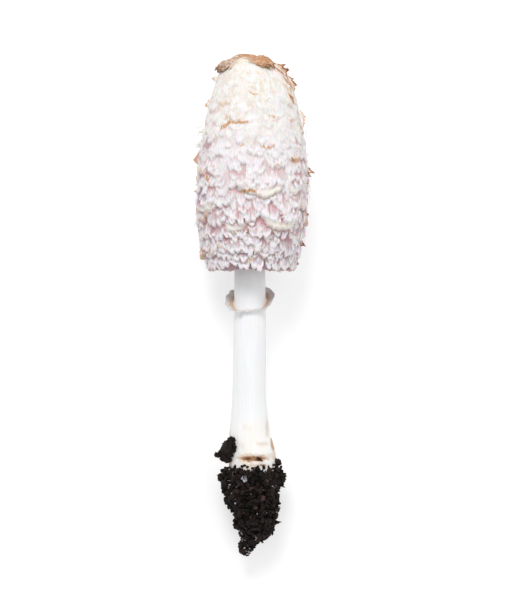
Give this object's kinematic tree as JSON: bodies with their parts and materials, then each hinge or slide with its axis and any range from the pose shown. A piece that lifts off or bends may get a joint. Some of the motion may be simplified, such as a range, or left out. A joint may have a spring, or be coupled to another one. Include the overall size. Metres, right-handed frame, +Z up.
{
  "type": "shaggy ink cap mushroom",
  "caption": "Whole picked shaggy ink cap lying on its side: tall shaggy cap with gills, slim stem, loose ring and soil on the foot.",
  "frame": {"origin": "on the surface that the mushroom lies on, under the middle of its bounding box", "axes": "+Y along the mushroom from the soil at its foot to the crown of its cap, +Z up from the surface, +X to the right seen from above with the crown at the top"},
  "size_m": [0.0519, 0.2205, 0.049],
  "materials": {
    "cap": "matt fibrous white flesh, pink in the folds, cream above",
    "crown": "matt papery tan skin",
    "stem": "smooth satin white, finely grained along its length",
    "ring": "matt grey-white membrane, tan inside",
    "soil": "rough near-black crumbly soil"
  },
  "bodies": {
    "root": {"cap": "cap", "crown": "crown", "stem": "stem", "ring": "ring", "soil": "soil", "side_clod": "soil"}
  },
  "joints": []
}
